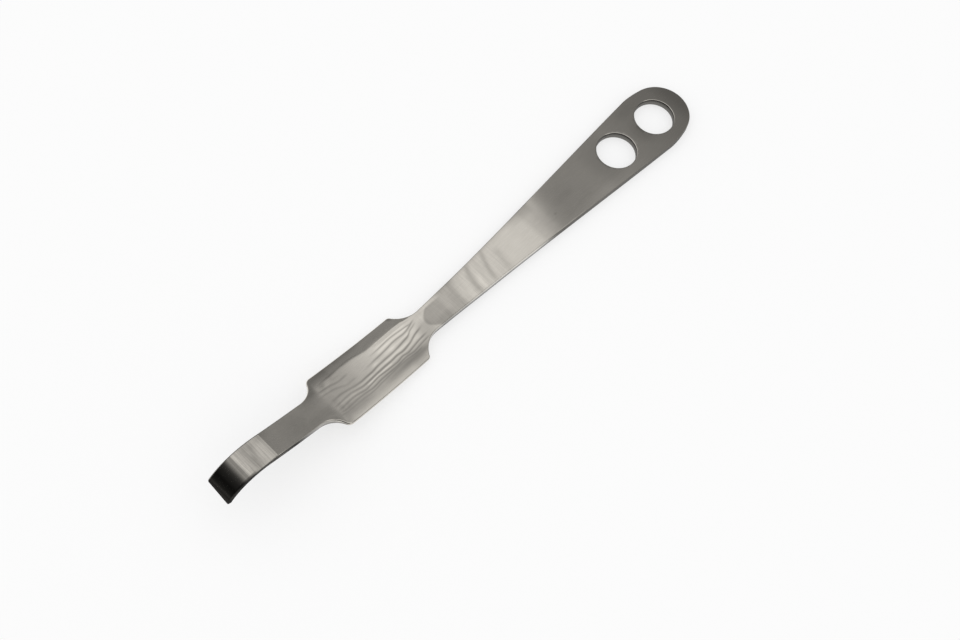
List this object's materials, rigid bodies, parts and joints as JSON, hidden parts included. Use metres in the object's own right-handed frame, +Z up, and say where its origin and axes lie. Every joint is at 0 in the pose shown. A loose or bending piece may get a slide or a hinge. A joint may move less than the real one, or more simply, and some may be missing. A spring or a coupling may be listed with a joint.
{
  "type": "bone elevator",
  "caption": "Flat stainless steel lever with a pierced handle, a crowned blade with scalloped shoulders and a hooked tip, for lifting bone.",
  "frame": {"origin": "on the handle's flat underside, on the centreline, midway between the two holes", "axes": "+X along the handle towards the hooked tip, +Z up through the handle, away from the surface it lies on"},
  "size_m": [0.2399, 0.0266, 0.021],
  "materials": {
    "satin_steel": "satin"
  },
  "bodies": {
    "root": {"bone_elevator": "satin_steel"}
  },
  "joints": []
}
